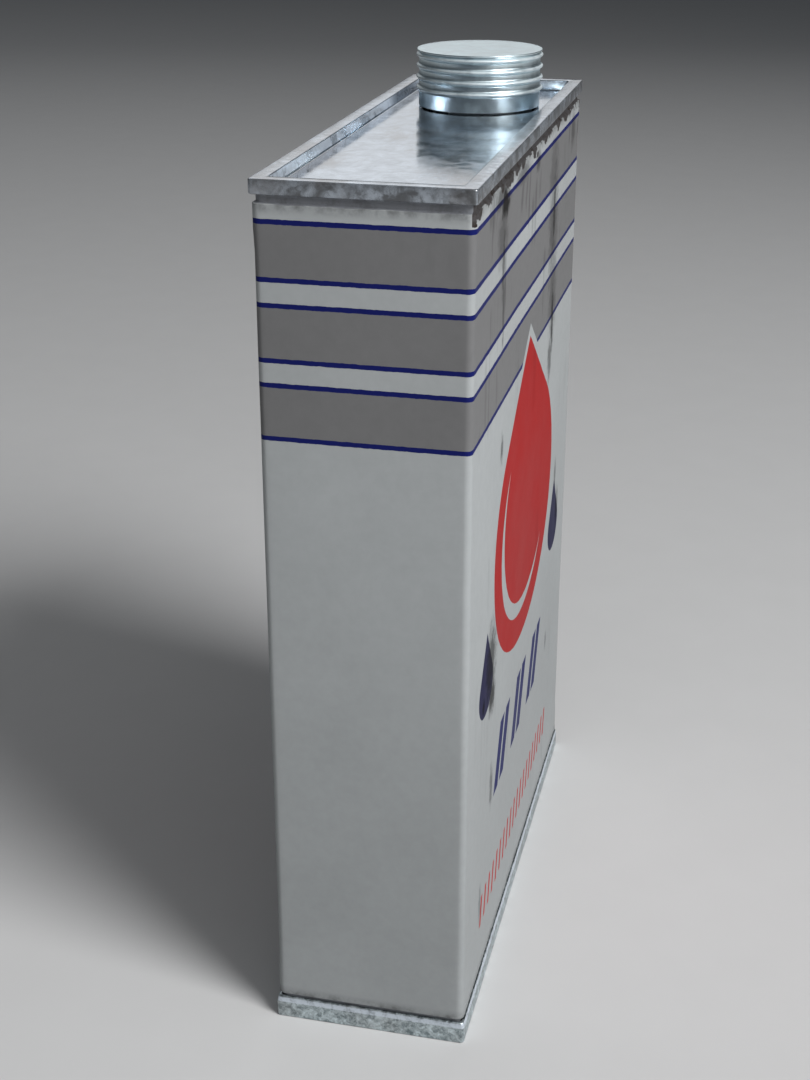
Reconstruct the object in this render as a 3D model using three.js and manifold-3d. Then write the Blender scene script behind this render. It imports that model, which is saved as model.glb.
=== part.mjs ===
// A flat two-litre tinplate oil can with a pressed screw cap, in millimetres.
//
// The origin is the middle of the footprint on the floor, +Z is up, X runs along the broad faces and
// Y through the can from front (-Y) to back (+Y). The pouring neck and its cap stand at the +X end.
//
// The can is a folded sheet body with a lock seam down its hidden narrow face, and a pressed end
// double-seamed onto it at the top and at the bottom. The layers of each seam are modelled one by one:
// the end's outer wall, the body's hook, the end's hook and the necked body wall.

import * as THREE from 'three';
import { mergeVertices } from 'three/addons/utils/BufferGeometryUtils.js';
import Module from 'manifold-3d';

const wasm = await Module();
wasm.setup();

// ---------------------------------------------------------------- driving dimensions

// Body
const bodyWidth = 171;
const bodyDepth = 54;
const rimHeight = 241;
const bodyCorner = 2;
const sheet = 0.3;
const layerGap = 0.1;

// Double seams and the pressed ends
const topSeamHeight = 3.8;
const bottomSeamHeight = 6.8;
const bottomShoulder = 2.2;
const rimCorner = 1;
const landWidth = 4;
const topCountersink = 3;
const bottomCountersink = 2.6;
const bareBand = 2.2;
const grooveBand = 1.1;
const seamEdge = 0.25;
const compoundHeight = 0.4;
const hookClearance = 0.2;
const neckingSlope = 0.4;
const rimReach = 2;
const rimOverlap = 0.5;

// Lock seam down the hidden narrow face
const lockWidth = 5;
const joggleLength = 1;

// Neck and thread
const neckX = 48;
const neckY = -1.5;
const neckHeight = 14.5;
const boreRadius = 15.6;
const neckWall = 0.35;
const threadDepth = 0.9;
const threadPitch = 3;
const threadClearance = 0.3;
const threadRunout = 1.2;
const neckShank = 3.3;
const neckLip = 0.9;
const flangeWidth = 3.4;
const solderLeg = 0.6;

// Cap
const capWall = 0.35;
const capStandoff = 0.4;
const capBeads = 4;
const beadSpacing = 3.15;
const firstBeadDrop = 1.6;
const beadRise = 0.8;
const beadHalfHeight = 0.95;
const beadShoulder = 0.8;
const topDiscRise = 0.55;
const capEdge = 0.25;
const pressFitGap = 0.2;
const sleeveMouth = 3.3;

// Liner
const linerThickness = 1.2;
const foilThickness = 0.15;
const linerGap = 0.1;
const linerSideGap = 0.4;
const sealGap = 0.2;

// Facets
const cornerSteps = 5;
const roundSegments = 36;
const stepsPerPitch = 5;

// ---------------------------------------------------------------- values that follow from them

// Distances across the double seam are measured outwards from the body's outer face.
const layer = sheet + layerGap;
const bodyHookOut = layerGap;
const endWallIn = bodyHookOut + layerGap;
const endWallOut = endWallIn + sheet;
const endHookOut = bodyHookOut - layer;
const neckedOut = endHookOut - layer;
const chuckOut = endWallOut - landWidth + sheet;

// Heights in a seam are measured from the end's land into the can.
const flangeHeight = sheet + layerGap;
const compoundStart = flangeHeight + sheet + layerGap;
const hookDepth = compoundStart + compoundHeight + layerGap;
const topPaintEdge = topSeamHeight + bareBand;
const bottomPaintEdge = bottomSeamHeight + grooveBand;
const fromTop = (height) => rimHeight - height;
const fromFloor = (height) => height;

const panelTop = rimHeight - topCountersink;
const neckRoot = boreRadius + neckWall;
const panelHole = neckRoot + layerGap;
const lipTop = panelTop + neckHeight;
const sleeveRoot = neckRoot + threadDepth + threadClearance;
const sleeveOut = sleeveRoot + neckWall;
const capRadius = sleeveOut + pressFitGap + capWall;
const capBottom = panelTop + capStandoff;
const foilBottom = lipTop + sealGap;
const linerBottom = foilBottom + foilThickness + linerGap;
const capTop = linerBottom + linerThickness + linerGap + capWall;
const linerRadius = capRadius - capWall - linerSideGap;

// ---------------------------------------------------------------- geometry helpers

/** One ring of points round the can: a rounded rectangle, offset outwards from the body's outer face. */
function ring(offset, z, corner = Math.max(bodyCorner + offset, rimCorner / 2)) {
  const points = [];
  for (let quarter = 0; quarter < 4; quarter++) {
    const signX = quarter === 0 || quarter === 3 ? 1 : -1;
    const signY = quarter < 2 ? 1 : -1;
    const centreX = signX * (bodyWidth / 2 + offset - corner);
    const centreY = signY * (bodyDepth / 2 + offset - corner);
    for (let step = 0; step <= cornerSteps; step++) {
      const angle = (quarter + step / cornerSteps) * Math.PI / 2;
      points.push([centreX + corner * Math.cos(angle), centreY + corner * Math.sin(angle), z]);
    }
  }
  return points;
}

/** A solid from rings of equal length: closed into a loop, or with its first and last ring filled flat. */
function loft(rings, isLoop) {
  const count = rings[0].length;
  const positions = rings.flat(2);
  const index = [];
  const bands = isLoop ? rings.length : rings.length - 1;
  for (let band = 0; band < bands; band++) {
    const lower = band * count;
    const upper = ((band + 1) % rings.length) * count;
    for (let i = 0; i < count; i++) {
      const j = (i + 1) % count;
      index.push(lower + i, lower + j, upper + j, lower + i, upper + j, upper + i);
    }
  }
  if (!isLoop) {
    const last = (rings.length - 1) * count;
    for (let i = 1; i < count - 1; i++) {
      index.push(0, i + 1, i, last, last + i, last + i + 1);
    }
  }
  const geometry = new THREE.BufferGeometry();
  geometry.setAttribute('position', new THREE.Float32BufferAttribute(positions, 3));
  geometry.setIndex(index);
  return facingOut(geometry);
}

/** Six times the volume that a closed geometry holds, negative when its faces point inwards. */
function signedVolume(geometry) {
  const position = geometry.attributes.position;
  const index = geometry.index.array;
  const [a, b, c] = [new THREE.Vector3(), new THREE.Vector3(), new THREE.Vector3()];
  let sum = 0;
  for (let i = 0; i < index.length; i += 3) {
    a.fromBufferAttribute(position, index[i]);
    b.fromBufferAttribute(position, index[i + 1]);
    c.fromBufferAttribute(position, index[i + 2]);
    sum += a.dot(b.cross(c));
  }
  return sum;
}

/** Turns a closed geometry's faces outwards. */
function facingOut(geometry) {
  if (signedVolume(geometry) < 0) {
    geometry.index.array.reverse();
  }
  return geometry;
}

/** Position-only geometry whose shared corners are merged, without the slivers left on an axis. */
function merged(geometry) {
  const bare = geometry.clone();
  bare.deleteAttribute('normal');
  bare.deleteAttribute('uv');
  const joined = mergeVertices(bare, 1e-4);
  const index = joined.index.array;
  const kept = [];
  for (let i = 0; i < index.length; i += 3) {
    const [a, b, c] = [index[i], index[i + 1], index[i + 2]];
    if (a !== b && b !== c && c !== a) {
      kept.push(a, b, c);
    }
  }
  joined.setIndex(kept);
  return joined;
}

/** A three.js geometry as a manifold solid, ready to be joined or cut. */
function toSolid(geometry) {
  const closed = facingOut(merged(geometry));
  return new wasm.Manifold(new wasm.Mesh({
    numProp: 3,
    vertProperties: new Float32Array(closed.attributes.position.array),
    triVerts: new Uint32Array(closed.index.array),
  }));
}

/** A manifold solid as a three.js geometry. */
function toGeometry(solid) {
  const mesh = solid.getMesh();
  const geometry = new THREE.BufferGeometry();
  geometry.setAttribute('position', new THREE.Float32BufferAttribute(mesh.vertProperties, 3));
  geometry.setIndex(Array.from(mesh.triVerts));
  return geometry;
}

/** A turned solid from [radius, z] points that start and end on the axis or close on themselves. */
function turned(profile) {
  const points = profile.map(([radius, z]) => new THREE.Vector2(radius, z));
  const geometry = new THREE.LatheGeometry(points, roundSegments);
  geometry.rotateX(Math.PI / 2);
  return facingOut(merged(geometry));
}

/** A round disc on the cap's axis. */
function disc(radius, bottom, thickness) {
  const geometry = new THREE.CylinderGeometry(radius, radius, thickness, roundSegments);
  geometry.rotateX(Math.PI / 2);
  geometry.translate(0, 0, bottom + thickness / 2);
  return facingOut(merged(geometry));
}

/** Rises smoothly from 0 at `from` to 1 at `to`. */
function ease(value, from, to) {
  return THREE.MathUtils.smoothstep((value - from) / (to - from), 0, 1);
}

/**
 * How far the rolled thread stands at a height and an angle, from 0 at its root to 1 at its crest.
 * One formula serves the neck and the cap's sleeve, so the two turn in each other at every pose.
 */
function threadWave(z, angle) {
  const phase = 2 * Math.PI * (z - panelTop) / threadPitch - angle;
  return 0.5 + 0.5 * Math.cos(phase);
}

/** A thin rolled tube from a list of stations, each a height and a function of angle for its radius. */
function rolled(stations) {
  const rings = stations.map(([z, radiusAt]) => {
    const points = [];
    for (let i = 0; i < roundSegments; i++) {
      const angle = 2 * Math.PI * i / roundSegments;
      const radius = radiusAt(angle);
      points.push([radius * Math.cos(angle), radius * Math.sin(angle), z]);
    }
    return points;
  });
  return loft(rings, true);
}

/** Heights from `from` to `to`, at the thread's sampling step. */
function threadHeights(from, to) {
  const steps = Math.ceil((to - from) / (threadPitch / stepsPerPitch));
  return Array.from({ length: steps + 1 }, (_, i) => from + (to - from) * i / steps);
}

// ---------------------------------------------------------------- pressed ends and seams

/**
 * A pressed end from the outside in: panel, chuck wall, land, outer wall, curl and hook, then back
 * along the inner side of the sheet. Heights are measured from the land into the can, and `place`
 * turns one into a z, so that one outline serves the top and the bottom.
 */
function pressedEnd(place, countersink, curl) {
  const at = (offset, height, corner) => ring(offset, place(height), corner);
  const profile = [
    at(chuckOut - sheet, countersink),
    at(chuckOut - sheet, seamEdge),
    at(chuckOut - sheet + seamEdge, 0),
    at(endWallOut - seamEdge, 0, rimCorner),
    at(endWallOut, seamEdge, rimCorner),
    ...curl(at),
    at(endWallIn, sheet, rimCorner - sheet),
    at(chuckOut, sheet),
    at(chuckOut, countersink + sheet),
  ];
  return loft(profile, false);
}

/** The top seam's curl: the wall turns square under the body's hook and up inside it. */
function squareCurl(at) {
  return [
    at(endWallOut, topSeamHeight - seamEdge, rimCorner),
    at(endWallOut - seamEdge, topSeamHeight, rimCorner),
    at(endHookOut - sheet, topSeamHeight),
    at(endHookOut - sheet, hookDepth),
    at(endHookOut, hookDepth),
    at(endHookOut, topSeamHeight - sheet),
    at(endWallIn, topSeamHeight - sheet, rimCorner - sheet),
  ];
}

/** The bottom seam's curl: past its plain skirt the wall leans in as a rounded shoulder. */
function shoulderedCurl(at) {
  const skirt = bottomSeamHeight - bottomShoulder;
  const along = (share) => skirt + share * bottomShoulder;
  const foldOut = endHookOut + sheet / 2;
  return [
    at(endWallOut, skirt, rimCorner),
    at(endWallOut - seamEdge / 2, along(0.4), rimCorner),
    at(bodyHookOut, along(0.8)),
    at(foldOut, bottomSeamHeight),
    at(endHookOut - sheet, bottomSeamHeight),
    at(endHookOut - sheet, hookDepth),
    at(endHookOut, hookDepth),
    at(endHookOut, along(0.6)),
    at(foldOut, along(0.6)),
    at(endWallIn - seamEdge / 2, along(0.3), rimCorner - sheet),
    at(endWallIn, skirt, rimCorner - sheet),
  ];
}

/** The body's rim inside a seam: its hook, flange and necked wall, and a stretch of the full body. */
function bodyRim(place, hookEnd, paintEdge) {
  const neckedIn = neckedOut - sheet;
  const bodyHookIn = bodyHookOut - sheet;
  const at = (offset, height) => ring(offset, place(height));
  return loft([
    at(0, paintEdge + rimReach),
    at(0, paintEdge),
    at(neckedOut, paintEdge - neckingSlope),
    at(neckedOut, flangeHeight + sheet),
    at(bodyHookIn, flangeHeight + sheet),
    at(bodyHookIn, hookEnd),
    at(bodyHookOut, hookEnd),
    at(bodyHookOut, flangeHeight),
    at(neckedIn, flangeHeight),
    at(neckedIn, paintEdge - neckingSlope + sheet / 2),
    at(-sheet, paintEdge + sheet / 2),
    at(-sheet, paintEdge + rimReach),
  ], true);
}

/** The bead of sealing compound over the end's hook, all the way round the can. */
function compoundRing(place) {
  const at = (offset, height) => ring(offset, place(height));
  return loft([
    at(endHookOut, compoundStart),
    at(endHookOut, compoundStart + compoundHeight),
    at(endHookOut - sheet, compoundStart + compoundHeight),
    at(endHookOut - sheet, compoundStart),
  ], true);
}

// ---------------------------------------------------------------- body

/**
 * The body's plan where the lock seam runs: one strip of sheet whose two edges hook into each other
 * in four layers, the outermost flush with the narrow face and the rest inside.
 */
function lockedStrip() {
  const face = bodyWidth / 2;
  const half = lockWidth / 2;
  const at = (along, depth) => [face - depth, along];
  const outside = ring(0, 0).map(([x, y]) => [x, y]);
  const inside = ring(-sheet, 0).map(([x, y]) => [x, y]).reverse();
  const hooked = [
    at(half, 0),
    at(half, 2 * layer + sheet),
    at(-half + layer, 2 * layer + sheet),
    at(-half + layer, 2 * layer),
    at(half - sheet, 2 * layer),
    at(half - sheet, sheet),
  ];
  const receiving = [
    at(half + layer + joggleLength, sheet),
    at(half + layer, 3 * layer + sheet),
    at(-half, 3 * layer + sheet),
    at(-half, layer),
    at(half - layer, layer),
    at(half - layer, layer + sheet),
    at(-half + sheet, layer + sheet),
    at(-half + sheet, 3 * layer),
    at(half + layerGap, 3 * layer),
    at(half + layerGap + joggleLength, 0),
  ];
  return [...outside, ...hooked, ...inside, ...receiving];
}

/** The body: the hooked strip of sheet, closed into a rim at the top and at the bottom. */
function makeBodyShell() {
  const bottom = fromFloor(bottomPaintEdge + rimReach - rimOverlap);
  const top = fromTop(topPaintEdge + rimReach - rimOverlap);
  const outline = new THREE.Shape(lockedStrip().map(([x, y]) => new THREE.Vector2(x, y)));
  const wall = new THREE.ExtrudeGeometry(outline, { depth: top - bottom, bevelEnabled: false });
  wall.translate(0, 0, bottom);
  const topHookEnd = topSeamHeight - sheet - hookClearance;
  const bottomHookEnd = bottomSeamHeight - bottomShoulder - sheet - hookClearance;
  const rimAbove = bodyRim(fromTop, topHookEnd, topPaintEdge);
  const rimBelow = bodyRim(fromFloor, bottomHookEnd, bottomPaintEdge);
  return toGeometry(toSolid(wall).add(toSolid(rimAbove)).add(toSolid(rimBelow)));
}

/** The solder that fills the outer groove beside the lock seam, between the closed rims. */
function makeSideSeamSolder() {
  const face = bodyWidth / 2;
  const depth = 2 * layer;
  const from = lockWidth / 2 + layerGap;
  const outline = new THREE.Shape([
    new THREE.Vector2(face, from),
    new THREE.Vector2(face, from + joggleLength - layerGap),
    new THREE.Vector2(face - depth, from + layerGap),
    new THREE.Vector2(face - depth, from),
  ]);
  const bottom = fromFloor(bottomPaintEdge + rimReach + hookClearance);
  const top = fromTop(topPaintEdge + rimReach + hookClearance);
  const geometry = new THREE.ExtrudeGeometry(outline, { depth: top - bottom, bevelEnabled: false });
  geometry.translate(0, 0, bottom);
  return facingOut(merged(geometry));
}

/** The top end, pierced for the neck. */
function makeTopEnd() {
  const end = pressedEnd(fromTop, topCountersink, squareCurl);
  const cutHeight = 4 * sheet;
  const hole = new THREE.CylinderGeometry(panelHole, panelHole, cutHeight, roundSegments);
  hole.rotateX(Math.PI / 2);
  hole.translate(neckX, neckY, panelTop - sheet / 2);
  return toGeometry(toSolid(end).subtract(toSolid(hole)));
}

function makeBottomEnd() {
  return pressedEnd(fromFloor, bottomCountersink, shoulderedCurl);
}

// ---------------------------------------------------------------- neck

/** The neck: a foot flange under the panel, a plain shank, the rolled thread and a turned-in lip. */
function makeNeck() {
  const flangeTop = panelTop - sheet - layerGap;
  const threadBottom = panelTop + neckShank;
  const threadTop = lipTop - neckLip;
  const flangeRadius = neckRoot + flangeWidth;
  const wave = (z) => (angle) => {
    const fade = ease(z, threadBottom, threadBottom + threadRunout)
      * (1 - ease(z, threadTop - threadRunout, threadTop));
    return neckRoot + threadDepth * fade * threadWave(z, angle);
  };
  const outer = threadHeights(threadBottom, threadTop).map((z) => [z, wave(z)]);
  const inner = threadHeights(threadBottom, threadTop)
    .map((z) => [z, (angle) => wave(z)(angle) - neckWall])
    .reverse();
  return rolled([
    [flangeTop - neckWall, () => flangeRadius],
    [flangeTop, () => flangeRadius],
    [flangeTop, () => neckRoot],
    ...outer,
    [lipTop - neckWall, () => neckRoot],
    [lipTop, () => neckRoot - neckWall / 2],
    [lipTop, () => boreRadius - neckWall],
    [lipTop - neckWall, () => boreRadius - neckWall],
    ...inner,
    [flangeTop, () => boreRadius],
    [flangeTop - neckWall, () => boreRadius + neckWall],
  ]);
}

/** The fillet of solder that seals the neck's foot flange to the underside of the panel. */
function makeNeckSolder() {
  const inner = neckRoot + flangeWidth + layerGap;
  const top = panelTop - sheet - layerGap;
  return turned([
    [inner, top],
    [inner + solderLeg, top],
    [inner + solderLeg / 3, top - solderLeg / 2],
    [inner, top - solderLeg],
    [inner, top],
  ]);
}

// ---------------------------------------------------------------- cap

/** One side of the cap's skirt from the top down, as [radius, z]: the ring beads, then plain. */
function capSkirt(radius) {
  const points = [];
  for (let bead = 0; bead < capBeads; bead++) {
    const middle = capTop - firstBeadDrop - bead * beadSpacing;
    const neckingIn = bead === 0 ? beadRise / 3 : 0;
    points.push([radius + neckingIn, middle + beadHalfHeight]);
    points.push([radius + beadShoulder * beadRise, middle + beadHalfHeight / 2]);
    points.push([radius + beadRise, middle]);
    points.push([radius + beadShoulder * beadRise, middle - beadHalfHeight / 2]);
    points.push([radius, middle - beadHalfHeight]);
  }
  points.push([radius, capBottom]);
  return points;
}

/** The pressed shell, open at the bottom, its beads hollow behind as pressed sheet is. */
function makeCapShell() {
  const discEdge = capRadius + topDiscRise;
  const inside = capSkirt(capRadius - capWall).slice(1).reverse();
  return turned([
    [0, capTop],
    [discEdge - capEdge, capTop],
    [discEdge, capTop - capEdge],
    ...capSkirt(capRadius),
    ...inside,
    [capRadius - capWall, capTop - capWall],
    [0, capTop - capWall],
  ]);
}

/** The rolled thread sleeve that is pressed into the shell and turns on the neck. */
function makeThreadSleeve() {
  const bottom = capBottom + pressFitGap;
  const top = foilBottom - linerGap;
  const threadBottom = bottom + sleeveMouth;
  const wave = (z) => (angle) => {
    const fade = ease(z, threadBottom, threadBottom + threadRunout)
      * (1 - ease(z, top - threadRunout, top));
    return sleeveRoot - threadDepth * fade * (1 - threadWave(z, angle));
  };
  const inner = threadHeights(threadBottom, top).map((z) => [z, wave(z)]);
  const outer = threadHeights(threadBottom, top)
    .map((z) => [z, (angle) => wave(z)(angle) + neckWall])
    .reverse();
  return rolled([
    [bottom, () => sleeveRoot],
    ...inner,
    ...outer,
    [bottom, () => sleeveOut],
  ]);
}

// ---------------------------------------------------------------- materials and assembly

const materials = {
  paint: { color: 0x9aa0a2, roughness: 0.45, metalness: 0 },
  tinplate: { color: 0x9aa6ae, roughness: 0.35, metalness: 0.9 },
  solder: { color: 0x7f858a, roughness: 0.5, metalness: 0.8 },
  compound: { color: 0x3a3a38, roughness: 0.9, metalness: 0 },
  pulpboard: { color: 0xb08a5e, roughness: 0.9, metalness: 0 },
  foil: { color: 0xc4c8cc, roughness: 0.3, metalness: 1 },
};

/** One named sub-part with its finish. */
function piece(name, geometry, finish) {
  geometry.computeVertexNormals();
  const mesh = new THREE.Mesh(geometry, new THREE.MeshStandardMaterial(materials[finish]));
  mesh.name = name;
  return mesh;
}

const can = new THREE.Group();
can.add(
  piece('body_shell', makeBodyShell(), 'paint'),
  piece('side_seam_solder', makeSideSeamSolder(), 'solder'),
  piece('top_end', makeTopEnd(), 'tinplate'),
  piece('bottom_end', makeBottomEnd(), 'tinplate'),
  piece('top_seam_compound', compoundRing(fromTop), 'compound'),
  piece('bottom_seam_compound', compoundRing(fromFloor), 'compound'),
);

const closure = new THREE.Group();
closure.position.set(neckX, neckY, 0);
closure.add(
  piece('neck', makeNeck(), 'tinplate'),
  piece('neck_solder', makeNeckSolder(), 'solder'),
  piece('cap_shell', makeCapShell(), 'tinplate'),
  piece('cap_thread_sleeve', makeThreadSleeve(), 'tinplate'),
  piece('cap_liner', disc(linerRadius, linerBottom, linerThickness), 'pulpboard'),
  piece('liner_foil', disc(linerRadius, foilBottom, foilThickness), 'foil'),
);

const oilCan = new THREE.Group();
oilCan.add(can, closure);

export default oilCan;
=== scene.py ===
# %% [markdown]
# # A flat oil can in tinplate
#
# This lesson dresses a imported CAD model. The CAD holds the sizes, the seams and the moving cap; here each
# visible sheet is pressed again as a finer mesh, exactly where the CAD has it, and gets its finish: printed
# paint with chips and soot, mottled tin, a bright ribbed cap. Everything is in metres, +Z is up, the printed
# front faces -Y and the neck stands at the +X end.

# %% Load the frame
import math

import bpy
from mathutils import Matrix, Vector


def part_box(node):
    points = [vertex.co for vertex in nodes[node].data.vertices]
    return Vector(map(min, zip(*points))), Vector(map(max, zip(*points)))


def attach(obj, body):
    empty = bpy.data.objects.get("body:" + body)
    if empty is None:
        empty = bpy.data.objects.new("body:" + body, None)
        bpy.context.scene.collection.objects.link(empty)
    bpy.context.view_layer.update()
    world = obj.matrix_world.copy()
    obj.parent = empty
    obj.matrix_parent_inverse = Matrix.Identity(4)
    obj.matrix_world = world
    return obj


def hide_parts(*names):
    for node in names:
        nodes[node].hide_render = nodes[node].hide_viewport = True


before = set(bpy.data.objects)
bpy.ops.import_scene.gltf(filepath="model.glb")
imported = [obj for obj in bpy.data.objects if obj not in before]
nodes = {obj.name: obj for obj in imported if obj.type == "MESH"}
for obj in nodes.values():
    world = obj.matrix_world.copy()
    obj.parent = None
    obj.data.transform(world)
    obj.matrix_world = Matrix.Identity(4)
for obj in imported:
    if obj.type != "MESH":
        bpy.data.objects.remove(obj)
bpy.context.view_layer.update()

mm = 0.001
print("CAD nodes:", sorted(nodes))

# %% [markdown]
# ## Sizes from the frame
#
# A tin is pressed to a few sizes that everything else follows. The boxes of the CAD nodes give the body, the
# seams, the cap and the neck; the few sizes that a box can't show, such as the sheet's thickness, are named.

# %% Read the sizes
rim_low, rim_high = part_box("top_end")
_, foot_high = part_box("bottom_end")
cap_low, cap_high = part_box("cap_shell")
neck_low, neck_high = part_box("neck")
liner_low, liner_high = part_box("cap_liner")
foil_low, foil_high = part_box("liner_foil")

sheet = 0.3 * mm                    # tinplate of the body and the ends
wall_out = 0.5 * mm                 # how far a seam's outer wall stands out from the body
body_half = Vector((rim_high.x - wall_out, rim_high.y - wall_out))
cap_centre = (cap_low + cap_high) / 2
print(f"body {2000 * body_half.x:.1f} x {2000 * body_half.y:.1f} mm, rim at {rim_high.z / mm:.1f} mm")

# %% [markdown]
# ## The camera
#
# The can is looked at from beside its narrow face and a little above, so that the top, the narrow face and
# the printed front all show. A camera is placed by where it stands, its heading and how far it tips down.

# %% Place the camera
camera_place = Vector((-463.4, -99.9, 321.0)) * mm
heading = math.radians(76.67)       # from +Y towards +X
tip_down = math.radians(23.40)
lens_length = 56.75                 # for a 36 mm sensor along the picture's long side

level = math.cos(tip_down)
forward = Vector((level * math.sin(heading), level * math.cos(heading), -math.sin(tip_down)))
camera_data = bpy.data.cameras.new("studio_camera")
camera_data.lens = lens_length
camera_data.sensor_width = 36
camera = bpy.data.objects.new("studio_camera", camera_data)
camera.location = camera_place
camera.rotation_euler = forward.to_track_quat("-Z", "Y").to_euler()
bpy.context.scene.collection.objects.link(camera)
bpy.context.scene.camera = camera
print("camera looks along", tuple(round(c, 3) for c in forward))

# %% [markdown]
# ## Colours and lights
#
# Colours are easiest to name as they look on a screen, but shaders want them linear, so one short function
# turns them. The view is set to Standard, which shows a shader's colour as it is.
#
# A round lamp stands high over the front left of the can: its shadow falls soft behind it, and its beam
# fades with distance over the floor. A wide panel of light stands behind, low enough for the top of the can
# to mirror it, because bare metal shows only what it reflects. A panel overhead picks out the upper side of
# the cap's beads.

# %% Light the studio
def tone(red, green, blue):
    """A screen colour from 0 to 255 as a linear RGBA colour."""
    def linear(value):
        share = value / 255
        return share / 12.92 if share <= 0.04045 else ((share + 0.055) / 1.055) ** 2.4
    return (linear(red), linear(green), linear(blue), 1)


def aimed_light(kind, name, place, target, power):
    """Adds a light of a kind at a place, turned towards a target."""
    data = bpy.data.lights.new(name, kind)
    data.energy = power
    light = bpy.data.objects.new(name, data)
    light.location = place
    light.rotation_euler = (Vector(target) - Vector(place)).to_track_quat("-Z", "Y").to_euler()
    bpy.context.scene.collection.objects.link(light)
    return data


bpy.context.scene.view_settings.view_transform = "Standard"
can_middle = Vector((0, 0, 0.12))
key_direction = Vector((-0.357, -0.676, 0.645))
key_target = (-0.88, -0.29, 0)
back_place = can_middle + 2.4 * Vector((0.89, 0.21, 0.42))
overhead_place = can_middle + 1.7 * Vector((-0.42, -0.22, 0.88))

key = aimed_light("SPOT", "key_lamp", 3 * key_direction, key_target, power=400)
key.shadow_soft_size = 0.7
key.spot_size = math.radians(102)
key.spot_blend = 1
back = aimed_light("AREA", "back_panel", back_place, can_middle, power=1.25)
back.shape = "RECTANGLE"
back.size = 2.0
back.size_y = 1.3
back.spread = math.radians(70)
overhead = aimed_light("AREA", "overhead_panel", overhead_place, cap_centre, power=3.8)
overhead.size = 1.2

world = bpy.data.worlds.new("studio")
world.use_nodes = True
sky = world.node_tree.nodes["Background"]
sky.inputs["Color"].default_value = tone(205, 212, 220)
sky.inputs["Strength"].default_value = 0.10
bpy.context.scene.world = world

# %% [markdown]
# ## Graphs of nodes
#
# Every finish is a graph of shader nodes. Written out, a graph is three things over and over: add a node, set
# its inputs, link it to the next. A small class holds those, so that a material reads from top to bottom.

# %% A short way to write node graphs
class Graph:
    """A node tree with short calls that add a node and link its inputs."""

    def __init__(self, tree):
        self.tree = tree

    def node(self, kind, inputs=(), **settings):
        """Adds a node; inputs pairs a socket's name or number with a value or another node's socket."""
        made = self.tree.nodes.new(kind)
        for name, value in settings.items():
            setattr(made, name, value)
        for socket, value in dict(inputs).items():
            self.put(made.inputs[socket], value)
        return made

    def put(self, socket, value):
        """Links a socket to another, or sets its own value."""
        if isinstance(value, bpy.types.NodeSocket):
            self.tree.links.new(value, socket)
        else:
            socket.default_value = value

    def math(self, operation, *values, clamp=False):
        """One arithmetic step."""
        return self.node("ShaderNodeMath", enumerate(values), operation=operation,
                         use_clamp=clamp).outputs[0]

    def times(self, *values, clamp=False):
        """The product of two numbers."""
        return self.math("MULTIPLY", *values, clamp=clamp)

    def plus(self, *values, clamp=False):
        """The sum of two numbers."""
        return self.math("ADD", *values, clamp=clamp)

    def minus(self, *values, clamp=False):
        """The first number less the second."""
        return self.math("SUBTRACT", *values, clamp=clamp)

    def most(self, *values):
        """The larger of two numbers."""
        return self.math("MAXIMUM", *values)

    def length(self, first, second):
        """The length of a flat vector."""
        return self.math("SQRT", self.plus(self.times(first, first), self.times(second, second)))

    def mix(self, factor, first, second, blend="MIX"):
        """Mixes two colours."""
        made = self.node("ShaderNodeMix", data_type="RGBA", blend_type=blend)
        self.put(made.inputs["Factor"], factor)
        self.put(made.inputs[6], first)
        self.put(made.inputs[7], second)
        return made.outputs[2]

    def ramp(self, value, stops, interpolation="LINEAR"):
        """A colour for each value, from (position, colour) stops."""
        made = self.node("ShaderNodeValToRGB", {"Fac": value})
        made.color_ramp.interpolation = interpolation
        places = made.color_ramp.elements
        while len(places) < len(stops):
            places.new(1.0)
        for place, (position, colour) in zip(places, stops):
            place.position = position
            place.color = colour
        return made.outputs["Color"]

    def noise(self, vector, scale, detail=3.0, roughness=0.55, distortion=0.0):
        """Cloudy noise from 0 to 1."""
        return self.node("ShaderNodeTexNoise", {"Vector": vector, "Scale": scale, "Detail": detail,
                                                "Roughness": roughness, "Distortion": distortion}).outputs[0]

    def fade(self, value, start, end, low=0.0, high=1.0):
        """Goes smoothly from low at start to high at end."""
        return self.node("ShaderNodeMapRange", {0: value, 1: start, 2: end, 3: low, 4: high},
                         interpolation_type="SMOOTHSTEP").outputs[0]

    def stretched(self, vector, scale, place=(0, 0, 0)):
        """A vector scaled along each axis and moved."""
        return self.node("ShaderNodeMapping", {"Vector": vector, "Scale": scale,
                                               "Location": place}).outputs[0]

    def split(self, vector):
        """The x, y and z of a vector."""
        return self.node("ShaderNodeSeparateXYZ", {0: vector}).outputs

    def bump(self, height, strength, distance=0.0002):
        """A normal from a height."""
        return self.node("ShaderNodeBump", {"Height": height, "Strength": strength,
                                            "Distance": distance}).outputs[0]


def new_group(name, inputs, outputs):
    """A shader node group with named sockets; gives its graph, its inputs and its output node."""
    tree = bpy.data.node_groups.new(name, "ShaderNodeTree")
    for socket, value in inputs.items():
        kind = "NodeSocketVector" if value is None else "NodeSocketFloat"
        made = tree.interface.new_socket(socket, in_out="INPUT", socket_type=kind)
        if value is not None:
            made.default_value = value
    for socket in outputs:
        tree.interface.new_socket(socket, in_out="OUTPUT", socket_type="NodeSocketFloat")
    graph = Graph(tree)
    return graph, graph.node("NodeGroupInput").outputs, graph.node("NodeGroupOutput").inputs


def use_group(graph, name, vector, **values):
    """Places a group in a material with its own values."""
    made = graph.node("ShaderNodeGroup", node_tree=bpy.data.node_groups[name])
    graph.put(made.inputs["Vector"], vector)
    for socket, value in values.items():
        graph.put(made.inputs[socket.replace("_", " ").capitalize()], value)
    return made.outputs


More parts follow.
